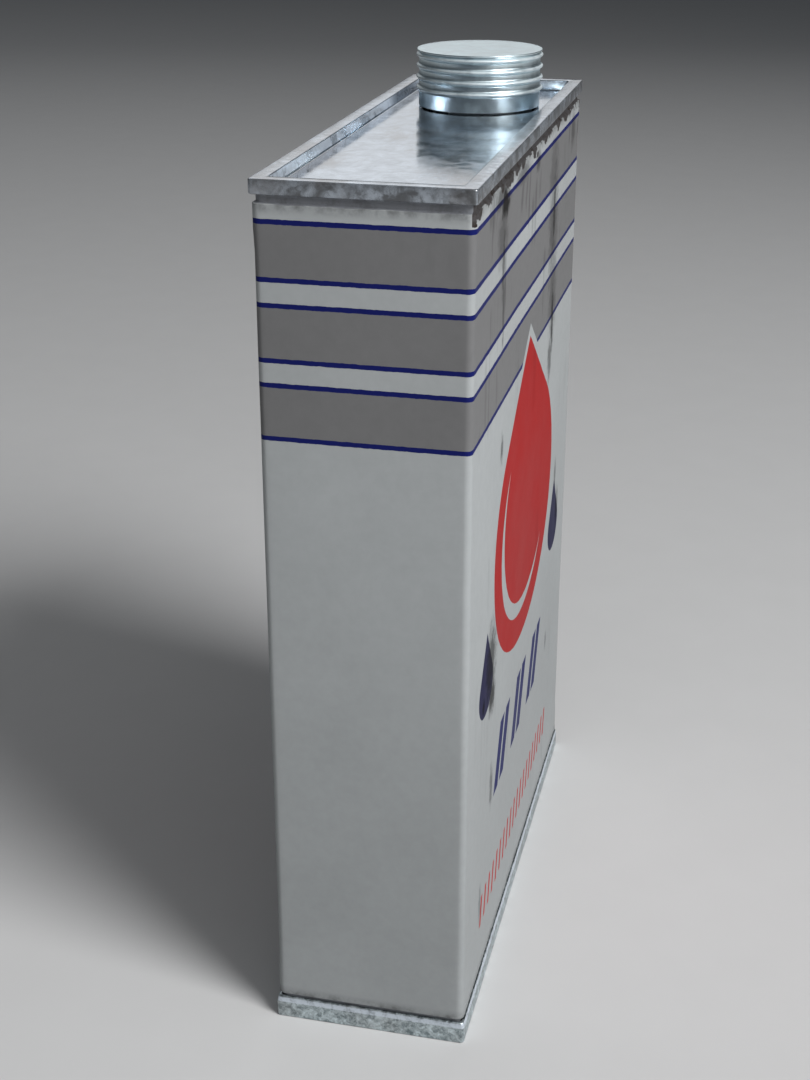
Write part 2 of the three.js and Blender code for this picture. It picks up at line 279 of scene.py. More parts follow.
def new_material(name):
    """A material with its graph, its Principled shader and Object coordinates."""
    material = bpy.data.materials.new(name)
    material.use_nodes = True
    graph = Graph(material.node_tree)
    shader = material.node_tree.nodes["Principled BSDF"]
    place = graph.node("ShaderNodeTexCoord").outputs["Object"]
    return material, graph, shader, place


print("graph helpers are ready")

# %% [markdown]
# ## Effects that several finishes share
#
# - `mottle` is the cloudy, spangled look of dulled tin: large soft blotches, small crystals and a fine grain.
# - `rust` is a mask of patches with ragged edges; Cover says how much of the surface they take.
# - `smudge` is one soft, ragged patch of soot at a place on a broad face.
# - `weeping` is thin grime that has run down a wall in narrow streaks.

# %% Build the shared groups
def build_mottle():
    """Cloudy tin: its blotches, crystals and grain, each from 0 to 1."""
    graph, given, out = new_group("mottle", {"Vector": None, "Scale": 100.0}, ["Blotch", "Crystal", "Grain"])
    scale = given["Scale"]
    blotch = graph.noise(given["Vector"], scale, detail=5.0, roughness=0.6, distortion=0.6)
    cells = graph.node("ShaderNodeTexVoronoi", {"Vector": given["Vector"],
                                                "Scale": graph.times(scale, 4.0)})
    grain = graph.noise(given["Vector"], graph.times(scale, 14.0), detail=2.0)
    graph.put(out["Blotch"], graph.fade(blotch, 0.3, 0.7))
    graph.put(out["Crystal"], graph.split(cells.outputs["Color"])[0])
    graph.put(out["Grain"], grain)


def build_rust():
    """Ragged patches that take more of the surface as Cover grows."""
    graph, given, out = new_group("rust", {"Vector": None, "Scale": 60.0, "Cover": 0.3}, ["Mask"])
    patches = graph.noise(given["Vector"], given["Scale"], detail=8.0, roughness=0.68)
    edge = graph.minus(0.82, graph.times(given["Cover"], 0.5))
    graph.put(out["Mask"], graph.fade(patches, edge, graph.plus(edge, 0.1)))


def build_smudge():
    """One soft, ragged patch on a broad face."""
    graph, given, out = new_group(
        "smudge", {"Vector": None, "Across": 0.0, "Up": 0.1, "Half width": 0.01, "Half height": 0.01,
                   "Strength": 1.0}, ["Mask"])
    x, _, z = graph.split(given["Vector"])
    across = graph.math("DIVIDE", graph.minus(x, given["Across"]), given["Half width"])
    up = graph.math("DIVIDE", graph.minus(z, given["Up"]), given["Half height"])
    away = graph.length(across, up)
    ragged = graph.noise(given["Vector"], 220.0, detail=6.0, roughness=0.7)
    reach = graph.plus(away, graph.times(graph.minus(ragged, 0.5), 1.6))
    graph.put(out["Mask"], graph.times(graph.fade(reach, 1.1, 0.25), given["Strength"]))


def build_weeping():
    """Narrow broken streaks down a wall."""
    graph, given, out = new_group("weeping", {"Vector": None, "Cover": 0.4}, ["Mask"])
    drawn = graph.stretched(given["Vector"], (260, 260, 14))
    streaks = graph.noise(drawn, 1.0, detail=4.0, roughness=0.6)
    broken = graph.noise(given["Vector"], 30.0, detail=2.0)
    both = graph.times(streaks, graph.fade(broken, 0.35, 0.65))
    edge = graph.minus(0.75, graph.times(given["Cover"], 0.5))
    graph.put(out["Mask"], graph.fade(both, edge, graph.plus(edge, 0.25)))


for build in (build_mottle, build_rust, build_smudge, build_weeping):
    build()
print("groups:", [g.name for g in bpy.data.node_groups])

# %% [markdown]
# ## Pressing a sheet
#
# Every sheet of this can was pressed from a flat blank, and is modelled that way. The blank is a flat grid
# or disc, selected all over. Extruding it a step and resizing it draws the sheet on, as a press does, so a
# whole outline is a list of stations: how far out from the body's face, and how high. The last faces are the
# panel itself; the first ones are removed, and a Solidify modifier gives the sheet its thickness.

# %% Helpers for pressed sheet
def arc(offset, height, radius, start, end, steps=5):
    """Stations on an arc round (offset, height), from one angle to another in degrees."""
    angles = [math.radians(start + (end - start) * i / steps) for i in range(steps + 1)]
    return [(offset + radius * math.cos(a), height + radius * math.sin(a)) for a in angles]


def pick(piece, mode, wanted):
    """Selects what wanted(place, normal) accepts among a mesh's VERT or FACE elements, in edit mode."""
    bpy.ops.object.mode_set(mode="OBJECT")
    bpy.context.tool_settings.mesh_select_mode = (mode == "VERT", False, mode == "FACE")
    for edge in piece.data.edges:
        edge.select = False
    for vertex in piece.data.vertices:
        vertex.select = mode == "VERT" and wanted(vertex.co, vertex.normal)
    for face in piece.data.polygons:
        face.select = mode == "FACE" and wanted(face.center, face.normal)
    bpy.ops.object.mode_set(mode="EDIT")


def name_piece(name):
    """Names the new primitive, puts its place in its mesh and opens it for editing."""
    piece = bpy.context.object
    piece.name = name
    piece.data.name = name
    bpy.ops.object.transform_apply(location=True, rotation=True, scale=True)
    bpy.ops.object.mode_set(mode="EDIT")
    return piece


def start_blank(name, offset, height, corner, cells=(57, 18)):
    """A flat rectangular blank with rounded corners, left selected in edit mode."""
    bpy.ops.object.select_all(action="DESELECT")
    bpy.ops.mesh.primitive_grid_add(x_subdivisions=cells[0], y_subdivisions=cells[1], size=2,
                                    location=(0, 0, height))
    bpy.context.object.scale = (body_half.x + offset, body_half.y + offset, 1)
    piece = name_piece(name)
    at_corner = (Vector((body_half.x + offset, body_half.y + offset)).length) - 0.1 * mm
    pick(piece, "VERT", lambda place, normal: Vector((place.x, place.y)).length > at_corner)
    bpy.ops.mesh.bevel(offset=corner, segments=7, affect="VERTICES")
    bpy.ops.mesh.select_mode(type="FACE")
    bpy.ops.mesh.select_all(action="SELECT")
    return piece


def start_disc(name, radius, height, centre, segments=144):
    """A flat round blank, left selected in edit mode."""
    bpy.ops.object.select_all(action="DESELECT")
    bpy.ops.mesh.primitive_circle_add(vertices=segments, radius=radius, fill_type="NGON",
                                      location=(centre.x, centre.y, height))
    piece = name_piece(name)
    bpy.ops.mesh.select_mode(type="FACE")
    bpy.ops.mesh.select_all(action="SELECT")
    return piece


def press(stations, half=None, centre=(0, 0, 0)):
    """Draws the selected faces on through stations of (offset, height), from where they are at the first."""
    half_x, half_y = half if half is not None else body_half
    offset, height = stations[0]
    for next_offset, next_height in stations[1:]:
        bpy.ops.mesh.extrude_region_move(
            TRANSFORM_OT_translate={"value": (0, 0, next_height - height)})
        bpy.ops.transform.resize(value=((half_x + next_offset) / (half_x + offset),
                                        (half_y + next_offset) / (half_y + offset), 1),
                                 center_override=(centre[0], centre[1], next_height))
        offset, height = next_offset, next_height


def open_sheet(piece, height, reach=None, centre=(0, 0, 0)):
    """Removes the blank's flat faces left at a height, within a reach of the centre."""
    reach_x, reach_y = reach if reach is not None else body_half
    pick(piece, "FACE", lambda place, normal: abs(place.z - height) < 0.01 * mm and abs(normal.z) > 0.9
         and abs(place.x - centre[0]) < reach_x and abs(place.y - centre[1]) < reach_y)
    bpy.ops.mesh.delete(type="FACE")


def face_out(piece, wanted):
    """Turns a sheet's faces the same way, and flips them all if wanted(place, normal) accepts none."""
    bpy.ops.object.mode_set(mode="EDIT")
    bpy.ops.mesh.select_all(action="SELECT")
    bpy.ops.mesh.normals_make_consistent(inside=False)
    bpy.ops.object.mode_set(mode="OBJECT")
    if not any(wanted(face.center, face.normal) for face in piece.data.polygons):
        bpy.ops.object.mode_set(mode="EDIT")
        bpy.ops.mesh.select_all(action="SELECT")
        bpy.ops.mesh.flip_normals()
        bpy.ops.object.mode_set(mode="OBJECT")


def select_only(piece):
    """Leaves edit mode with one piece selected and active."""
    bpy.ops.object.mode_set(mode="OBJECT")
    bpy.ops.object.select_all(action="DESELECT")
    piece.select_set(True)
    bpy.context.view_layer.objects.active = piece


def finish_modifier(piece, kind, **settings):
    """Adds a modifier with its settings and applies it."""
    select_only(piece)
    modifier = piece.modifiers.new(kind.lower(), kind)
    for name, value in settings.items():
        setattr(modifier, name, value)
    bpy.ops.object.modifier_apply(modifier=modifier.name)


def dent(piece, name, depth, size, group=""):
    """Lets a surface sink by up to a depth in soft hollows of a size, never standing out."""
    texture = bpy.data.textures.new(name, "CLOUDS")
    texture.noise_scale = size
    texture.noise_depth = 1
    finish_modifier(piece, "DISPLACE", texture=texture, strength=depth, mid_level=1.0,
                    texture_coords="LOCAL", vertex_group=group)


def smooth(piece, angle=35):
    """Shades a piece smooth, except across edges sharper than an angle."""
    select_only(piece)
    bpy.ops.object.shade_smooth_by_angle(angle=math.radians(angle))


def report(piece):
    """Says what a piece is made of."""
    size = " x ".join(f"{1000 * side:.1f}" for side in piece.dimensions)
    print(f"{piece.name}: {len(piece.data.vertices)} vertices, {len(piece.data.polygons)} faces, {size} mm")


print("pressing helpers are ready")

# %% [markdown]
# ## The body
#
# The body is one sheet folded round into a rectangle. At both ends it necks in under the seam, turns out in
# a flange and hooks back down into the end's curl. The blank starts at the lower hook and is drawn all the
# way up to the upper one. Rows along the wall let it take the shallow hollows that handling leaves in thin
# sheet. On the hidden narrow face a groove marks the lock seam, which solder fills.

# %% Press the body
top = rim_high.z
neckdown = 0.7 * mm                 # the necked wall behind a seam, in from the body's face
hook_out = -0.2 * mm                # the inner side of the body's hook
upper_hook = (3.3 * mm, 0.7 * mm)   # how far below the rim the hook ends, and where its flange is
lower_hook = (4.1 * mm, 0.7 * mm)
paint_top = top - 6.0 * mm
paint_foot = foot_high.z + 1.1 * mm
neck_step = 0.4 * mm

wall_rows = 38
wall = [(0, paint_foot + (paint_top - paint_foot) * i / wall_rows) for i in range(wall_rows + 1)]
body_outline = [
    (hook_out, lower_hook[0]),
    (hook_out, lower_hook[1]),
    (-neckdown, lower_hook[1]),
    (-neckdown, paint_foot - neck_step),
    *wall,
    (-neckdown, paint_top + neck_step),
    (-neckdown, top - upper_hook[1]),
    (hook_out, top - upper_hook[1]),
    (hook_out, top - upper_hook[0]),
]
body = start_blank("painted_body", *body_outline[0], corner=2 * mm)
press(body_outline)
open_sheet(body, body_outline[0][1])
open_sheet(body, body_outline[-1][1])
report(body)

# %% Cut the lock seam's groove and give the sheet its thickness
groove_from, groove_to = 2.5 * mm, 3.6 * mm
groove_low, groove_high = paint_foot + 2.2 * mm, paint_top - 2.2 * mm
groove_depth = 0.3 * mm


def on_seam_face(place, normal):
    """Whether a place is on the lock seam's face, between the groove's ends."""
    return place.x > body_half.x - 0.2 * mm and groove_low < place.z < groove_high


for side in (groove_from, groove_to):
    pick(body, "FACE", on_seam_face)
    bpy.ops.mesh.bisect(plane_co=(0, side, 0), plane_no=(0, 1, 0))
pick(body, "FACE", lambda place, normal: on_seam_face(place, normal) and groove_from < place.y < groove_to)
bpy.ops.mesh.extrude_region_move(TRANSFORM_OT_translate={"value": (-groove_depth, 0, 0)})

face_out(body, lambda place, normal: place.y > body_half.y - 0.1 * mm and normal.y > 0.9)
pick(body, "VERT", lambda place, normal: paint_foot + 8 * mm < place.z < paint_top - 8 * mm)
body.vertex_groups.new(name="wall")
bpy.ops.object.vertex_group_assign()
dent(body, "handling_hollows", 0.35 * mm, 0.06, group="wall")
finish_modifier(body, "SOLIDIFY", thickness=sheet, offset=-1, use_even_offset=True, material_offset=1,
                material_offset_rim=1)
smooth(body)
report(body)

# %% [markdown]
# ## The pressed ends
#
# Each end is a tray: a panel, a chuck wall, a flat land, and an outer wall that curls under the body's hook
# and up inside it. The two differ in their curl. At the top the wall turns square under the hook; at the foot
# it leans in as a rounded shoulder. Both are drawn from the hook outwards, with arcs where the sheet bends.

# %% Press the top end
hook_in = -0.6 * mm                 # the end's own hook, behind the body's
chuck_in = -3.5 * mm                # where the land ends and the chuck wall starts
chuck_taper = 0.5 * mm
panel_height = top - 3.0 * mm
curl_foot = rim_low.z
bend = 0.45 * mm
inner_bend = 0.3 * mm

top_outline = [
    (hook_in, top - 1.5 * mm),
    (hook_in, curl_foot),
    *arc(wall_out - bend, curl_foot + bend, bend, -90, 0),
    *arc(wall_out - bend, top - bend, bend, 0, 90),
    *arc(chuck_in + inner_bend, top - inner_bend, inner_bend, 90, 180),
    *arc(chuck_in - chuck_taper - inner_bend, panel_height + inner_bend, inner_bend, 0, -90),
]
top_end = start_blank("pressed_top", *top_outline[0], corner=1 * mm)
press(top_outline)
open_sheet(top_end, top_outline[0][1])
face_out(top_end, lambda place, normal: abs(place.z - panel_height) < 0.01 * mm and normal.z > 0.9
         and abs(place.x) < 60 * mm)
dent(top_end, "rim_knocks", 0.10 * mm, 0.04)
finish_modifier(top_end, "SOLIDIFY", thickness=sheet, offset=-1, use_even_offset=True)
report(top_end)

# %% Pierce the top end for the neck
flange_cover = 3.3 * mm             # how far the panel covers the neck's flange
neck_hole = (neck_high.x - neck_low.x) / 2 - flange_cover
bpy.ops.object.select_all(action="DESELECT")
bpy.ops.mesh.primitive_cylinder_add(vertices=144, radius=neck_hole, depth=4 * mm,
                                    location=(cap_centre.x, cap_centre.y, panel_height))
punch = bpy.context.object
finish_modifier(top_end, "BOOLEAN", object=punch, operation="DIFFERENCE", solver="EXACT")
bpy.data.objects.remove(punch)
smooth(top_end)
report(top_end)

# %% Press the bottom end
foot_top = foot_high.z
skirt = foot_top - 2.2 * mm
foot_panel = 2.6 * mm
shoulder_bend = 0.5 * mm
bottom_outline = [
    (hook_in, 1.3 * mm),
    (hook_in, foot_top),
    *arc(-0.25 * mm, foot_top - shoulder_bend, shoulder_bend, 90, 30),
    (wall_out - 0.04 * mm, skirt + 0.35 * mm),
    (wall_out, skirt),
    *arc(wall_out - bend, bend, bend, 0, -90),
    *arc(chuck_in + inner_bend, inner_bend, inner_bend, -90, -180),
    *arc(chuck_in - inner_bend, foot_panel - inner_bend, inner_bend, 0, 90),
]
bottom_end = start_blank("pressed_bottom", *bottom_outline[0], corner=1 * mm)
press(bottom_outline)
open_sheet(bottom_end, bottom_outline[0][1])
face_out(bottom_end, lambda place, normal: abs(place.z - foot_panel) < 0.01 * mm and normal.z < -0.9
         and abs(place.x) < 60 * mm)
dent(bottom_end, "foot_knocks", 0.12 * mm, 0.018)
finish_modifier(bottom_end, "SOLIDIFY", thickness=sheet, offset=-1, use_even_offset=True)
smooth(bottom_end)
report(bottom_end)

# %% [markdown]
# ## The cap
#
# The cap is a pressed shell with four ring beads round its skirt, which give fingers a grip. It is drawn the
# same way from a round blank. A bead bulges as one wave of a raised cosine, so a formula gives its stations.

# %% Press the cap
cap_radius = 18.05 * mm
bead_rise = 0.8 * mm
bead_half = 1.0 * mm
bead_spacing = 3.15 * mm
first_bead = cap_high.z - 1.65 * mm
cap_wall = 0.35 * mm
disc_bend = 0.3 * mm
disc_radius = cap_radius + 0.55 * mm


def bead(middle, steps=18):
    """The stations of one ring bead from its upper side to its lower."""
    sweep = [2 * i / steps - 1 for i in range(steps + 1)]
    return [(cap_radius + bead_rise * (1 + math.cos(math.pi * t)) / 2, middle - t * bead_half)
            for t in sweep]


beads = [station for k in range(4) for station in bead(first_bead - k * bead_spacing)]
disc_rings = [(disc_radius * share, cap_high.z) for share in (0.9, 0.75, 0.6, 0.45, 0.3, 0.15, 0.05)]
cap_outline = [
    (cap_radius, cap_low.z),
    *reversed(beads),
    (cap_radius + 0.2 * mm, cap_high.z - 0.65 * mm),
    *arc(disc_radius - disc_bend, cap_high.z - disc_bend, disc_bend, -40, 90),
    *disc_rings,
]
round_half = (0, 0)
hub = (0.1 * mm, 0.1 * mm)         # only a disc's own round face has its middle this near the axis
cap = start_disc("ribbed_cap", *cap_outline[0], cap_centre)
press(cap_outline, round_half, cap_centre)
open_sheet(cap, cap_outline[0][1], hub, cap_centre)
face_out(cap, lambda place, normal: place.z > cap_high.z - 0.01 * mm and normal.z > 0.9)
dent(cap, "cap_knocks", 0.06 * mm, 0.012)
finish_modifier(cap, "SOLIDIFY", thickness=cap_wall, offset=-1)
smooth(cap, 50)
report(cap)

# %% [markdown]
# ## What the cap hides
#
# Under the cap stands the neck: a foot flange below the panel, a plain shank, a rolled thread and a lip
# turned in. The thread is a rounded ridge wound up the shank with a Screw modifier and joined to it. The cap
# holds a pulpboard disc, which presses a thin foil on the lip.

# %% Press the neck
neck_top = neck_high.z
neck_radius = 15.95 * mm
flange_radius = (neck_high.x - neck_low.x) / 2
flange_top = panel_height - 0.4 * mm
neck_wall = 0.35 * mm
lip_bend = 0.4 * mm
neck_outline = [
    (flange_radius, flange_top),
    *arc(neck_radius + lip_bend, flange_top + lip_bend, lip_bend, -90, -180),
    (neck_radius, (flange_top + neck_top) / 2),
    *arc(neck_radius - lip_bend, neck_top - lip_bend, lip_bend, 0, 180),
    (neck_radius - 2 * lip_bend, neck_top - 0.9 * mm),
]
neck = start_disc("pouring_neck", *neck_outline[0], cap_centre)
press(neck_outline, round_half, cap_centre)
open_sheet(neck, neck_outline[0][1], hub, cap_centre)
open_sheet(neck, neck_outline[-1][1], hub, cap_centre)
face_out(neck, lambda place, normal: place.x > cap_centre.x and place.z > panel_height + 2 * mm
         and normal.x > 0.9)
finish_modifier(neck, "SOLIDIFY", thickness=neck_wall, offset=-1)
report(neck)

# %% Wind the thread
thread_pitch = 3 * mm
thread_turns = 2.5
thread_rise = 0.9 * mm
thread_start = neck_top - 9.8 * mm
bpy.ops.object.select_all(action="DESELECT")
bpy.ops.mesh.primitive_circle_add(vertices=16, radius=thread_rise, fill_type="NOTHING",
                                  location=(0, 0, 0), rotation=(math.pi / 2, 0, 0))
thread = name_piece("thread")
bpy.ops.mesh.select_all(action="SELECT")
bpy.ops.transform.resize(value=(1, 1, 0.8), center_override=(0, 0, 0))
bpy.ops.transform.translate(value=(neck_radius - 0.05 * mm, 0, 0))
finish_modifier(thread, "SCREW", angle=2 * math.pi * thread_turns, screw_offset=thread_pitch * thread_turns,
                steps=240, render_steps=240, use_normal_calculate=True)
bpy.ops.object.mode_set(mode="EDIT")
bpy.ops.mesh.select_all(action="SELECT")
bpy.ops.mesh.fill_holes(sides=0)
bpy.ops.mesh.normals_make_consistent(inside=False)
bpy.ops.mesh.select_all(action="SELECT")
bpy.ops.transform.translate(value=(cap_centre.x, cap_centre.y, thread_start))
report(thread)
finish_modifier(neck, "BOOLEAN", object=thread, operation="UNION", solver="EXACT")
bpy.data.objects.remove(thread)
smooth(neck)
report(neck)

# %% Make the liner and its foil
liner_radius = (liner_high.x - liner_low.x) / 2
liner_bend = 0.3 * mm
liner_outline = [
    *arc(liner_radius - liner_bend, liner_low.z + liner_bend, liner_bend, -90, 0),
    *arc(liner_radius - liner_bend, liner_high.z - liner_bend, liner_bend, 0, 90),
    (0.5 * liner_radius, liner_high.z),
    (0.1 * liner_radius, liner_high.z),
]
liner = start_disc("pulpboard_liner", *liner_outline[0], cap_centre)
press(liner_outline, round_half, cap_centre)
face_out(liner, lambda place, normal: place.z > liner_high.z - 0.01 * mm and normal.z > 0.9)
smooth(liner)

foil_dent = 0.05 * mm
pressed_ring = ((0.10, 0), (0.60, 0), (0.86, 0), (0.89, 1), (0.94, 1), (0.97, 0), (1.0, 0))
foil_outline = [(share * liner_radius, foil_low.z + sunk * foil_dent) for share, sunk in pressed_ring]
foil_outline += [(share * liner_radius, foil_high.z) for share in (1.0, 0.9, 0.6, 0.1)]
foil = start_disc("liner_foil_sheet", *foil_outline[0], cap_centre)
press(foil_outline, round_half, cap_centre)
face_out(foil, lambda place, normal: place.z > foil_high.z - 0.01 * mm and normal.z > 0.9)
smooth(foil)
report(liner)
report(foil)

# %% Run solder into the side seam
bpy.ops.object.select_all(action="DESELECT")
bpy.ops.mesh.primitive_cube_add(size=1, location=(body_half.x - groove_depth / 2 + 0.03 * mm,
                                                  (groove_from + groove_to) / 2,
                                                  (groove_low + groove_high) / 2))
bpy.context.object.scale = (groove_depth, groove_to - groove_from - 0.1 * mm,
                            groove_high - groove_low - 1 * mm)
solder = name_piece("side_solder")
pick(solder, "FACE", lambda place, normal: normal.x > 0.9)
bpy.ops.mesh.bevel(offset=0.12 * mm, segments=3, affect="EDGES")
bpy.ops.mesh.select_all(action="SELECT")
bpy.ops.mesh.bisect(plane_co=(0, 0, (groove_low + groove_high) / 2), plane_no=(0, 0, 1))
finish_modifier(solder, "SUBSURF", subdivision_type="SIMPLE", levels=4, render_levels=4)
dent(solder, "solder_flow", 0.12 * mm, 0.004)
smooth(solder)
report(solder)

# %% Lay the floor
bpy.ops.object.select_all(action="DESELECT")
bpy.ops.mesh.primitive_plane_add(size=16, location=(0, 0, 0))
floor = bpy.context.object
floor.name = "studio_floor"
print("floor is 16 m wide")

# %% [markdown]
# ## The printed paint
#
# The body was printed flat before it was folded, so one design runs round it: three grey bands between thin
# blue lines, and on each broad face a red oil drop with two small blue ones, slanted blue bars and a row of
# short red strokes. Nothing here needs a picture. A band is a colour that depends only on height; a drop is
# the distance to a circle and to its two tangents. `across` reads from left to right on both broad faces,
# because it turns with the face.

# %% Sizes and colours of the print
line_heights = [height * mm for height in (176.75, 190.59, 196.73, 210.58, 216.91, 230.84)]
line_half = 0.65 * mm
drop_stretch = 1.25
drop_ring = 2.7 * mm
big_drop = (0, 128 * mm, 40 * mm, 182 * mm)     # middle across, middle height, radius and tip height
small_drops = ((-59 * mm, 99 * mm, 8 * mm, 116 * mm), (59 * mm, 99 * mm, 8 * mm, 116 * mm))
pale_paint = (0.390, 0.409, 0.415, 1)
grey_paint = (0.180, 0.180, 0.182, 1)
line_blue = (0.008, 0.012, 0.110, 1)
deep_blue = (0.006, 0.006, 0.050, 1)
drop_red = (0.370, 0.008, 0.008, 1)
stroke_red = (0.480, 0.016, 0.014, 1)
print_edge = 0.1 * mm               # half the width over which an edge of the print fades
glint_radius = 31 * mm
glint_shift = (4 * mm, 3.5 * mm)    # between the two circles that cut the glint
soot = (0.014, 0.013, 0.013, 1)
rust_dark = (0.040, 0.030, 0.025, 1)
rust_warm = (0.190, 0.085, 0.040, 1)
bare_metal = (0.24, 0.25, 0.27, 1)
strip_dark, strip_light = (0.20, 0.21, 0.22, 1), (0.36, 0.38, 0.40, 1)
stain_brown = (0.25, 0.22, 0.20, 1)
seam_dirt = (0.045, 0.043, 0.042, 1)
front_limit = -26 * mm              # whatever lies further forward is on the printed front
fold_x, fold_y = (84.6 * mm, 85.2 * mm), (26.1 * mm, 26.7 * mm)     # where the body's folds start and end
strip_side = (5.3 * mm, 5.0 * mm)   # where the lock seam's bare strip stops and the print starts


# %% Parts of the print
def band_colour(graph, height):
    """Pale paint with grey bands between pairs of blue lines."""
    low, high = line_heights[0] - 5 * mm, line_heights[-1] + 5 * mm
    stops = [(0.0, pale_paint)]
    after = [grey_paint, pale_paint] * 3
    for line, colour in zip(line_heights, after):
        stops.append(((line - line_half - low) / (high - low), line_blue))
        stops.append(((line + line_half - low) / (high - low), colour))
    share = graph.math("DIVIDE", graph.minus(height, low), high - low, clamp=True)
    return graph.ramp(share, stops, "CONSTANT")


def drop_distance(graph, across, height, drop):
    """The distance out from the edge of an oil drop, negative inside it."""
    middle, centre, radius, tip = drop
    lean = math.acos(radius / (tip - centre))
    out = graph.math("DIVIDE", graph.math("ABSOLUTE", graph.minus(across, middle)), drop_stretch)
    up = graph.minus(height, centre)
    far = graph.length(out, up)
    tangent = graph.plus(graph.times(out, math.sin(lean)), graph.times(up, math.cos(lean)))
    above = graph.math("LESS_THAN", graph.times(out, math.cos(lean)), graph.times(up, math.sin(lean)))
    nearest = graph.plus(far, graph.times(above, graph.minus(tangent, far)))
    return graph.minus(nearest, radius)


def circle_mask(graph, across, height, centre, radius):
    """One inside a circle on the broad face."""
    x = graph.math("DIVIDE", graph.minus(across, centre[0]), drop_stretch)
    z = graph.minus(height, centre[1])
    far = graph.length(x, z)
    return graph.fade(far, radius + print_edge, radius - print_edge)


def strokes_mask(graph, across, height, low, high, start, end, pitch, centres, half, slant):
    """Slanted strokes between two heights, repeated at a pitch from start to end."""
    leaning = graph.minus(across, graph.times(graph.minus(height, low),
                                              slant))
    place = graph.minus(leaning, start)
    local = graph.times(graph.math("FRACT", graph.math("DIVIDE", place, pitch)), pitch)
    ink = 0.0
    for centre in centres:
        away = graph.math("ABSOLUTE", graph.minus(local, centre))
        ink = graph.most(ink, graph.fade(away, half + 0.08 * mm, half - 0.08 * mm))
    in_row = graph.times(graph.math("GREATER_THAN", place, 0.0),
                         graph.math("LESS_THAN", place, end - start))
    in_height = graph.times(graph.math("GREATER_THAN", height, low),
                            graph.math("LESS_THAN", height, high))
    return graph.times(ink, graph.times(in_row, in_height))


def print_colour(graph, across, height):
    """The whole design."""
    colour = band_colour(graph, height)
    distance = drop_distance(graph, across, height, big_drop)
    ring = graph.fade(distance, drop_ring + print_edge, drop_ring - print_edge)
    drop = graph.fade(distance, print_edge, -print_edge)
    shifted = (glint_shift[0], big_drop[1] + glint_shift[1])
    glint = graph.minus(circle_mask(graph, across, height, (0, big_drop[1]), glint_radius),
                        circle_mask(graph, across, height, shifted, glint_radius), clamp=True)
    for small in small_drops:
        edge = drop_distance(graph, across, height, small)
        colour = graph.mix(graph.fade(edge, print_edge, -print_edge), colour, deep_blue)
    colour = graph.mix(ring, colour, pale_paint)
    colour = graph.mix(drop, colour, drop_red)
    colour = graph.mix(glint, colour, pale_paint)
    bars = strokes_mask(graph, across, height, low=55.5 * mm, high=75 * mm, start=-44 * mm, end=41 * mm,
                        pitch=28.3 * mm, centres=(3.7 * mm, 12.9 * mm), half=3.4 * mm, slant=0.5)
    colour = graph.mix(bars, colour, line_blue)
    row = strokes_mask(graph, across, height, low=22 * mm, high=31.5 * mm, start=-63 * mm, end=57 * mm,
                       pitch=6.0 * mm, centres=(2.0 * mm,), half=1.05 * mm, slant=0.25)
    return graph.mix(row, colour, stroke_red)


# %% [markdown]
# ## Wear on the paint
#
# Use leaves its marks in an order: the print is scuffed at the folds, it flakes off in a ragged line under
# the top seam, rust creeps from there, and soot and old oil run down the front. Each mark is a mask, and the
# same masks change the colour, the roughness and the height, so that they read as one material.

# %% Paint material
front_soot = (
    # across, height, half width, half height in mm, strength
    (-47, 230, 8, 7, 0.95), (-48, 222, 9, 10, 0.4), (-46.5, 216, 3, 13, 0.65), (-45.5, 202, 1.8, 14, 0.5),
    (-53, 232, 10, 3.5, 0.7), (35, 219, 9, 20, 0.35), (37, 207, 10, 30, 0.45), (38, 208, 3.4, 17, 0.8),
    (40, 184, 9, 22, 0.4), (41, 176, 3.6, 17, 0.85), (38, 164, 5, 9, 0.6),
    (-43, 163, 2.5, 5, 0.7), (-52, 104, 9, 15, 0.75), (-50, 92, 6, 7, 0.85), (-62, 95, 2.4, 3.5, 0.8),
    (66, 104, 3.5, 8, 0.6), (60, 118, 2.6, 6, 0.5), (-48, 62, 3, 9, 0.55), (-62, 31, 2.4, 8, 0.4),
    (4, 231, 5, 4, 0.6), (72, 228, 6, 7, 0.5), (-20, 232, 14, 3.2, 0.6), (52, 60, 2.2, 4, 0.4),
)


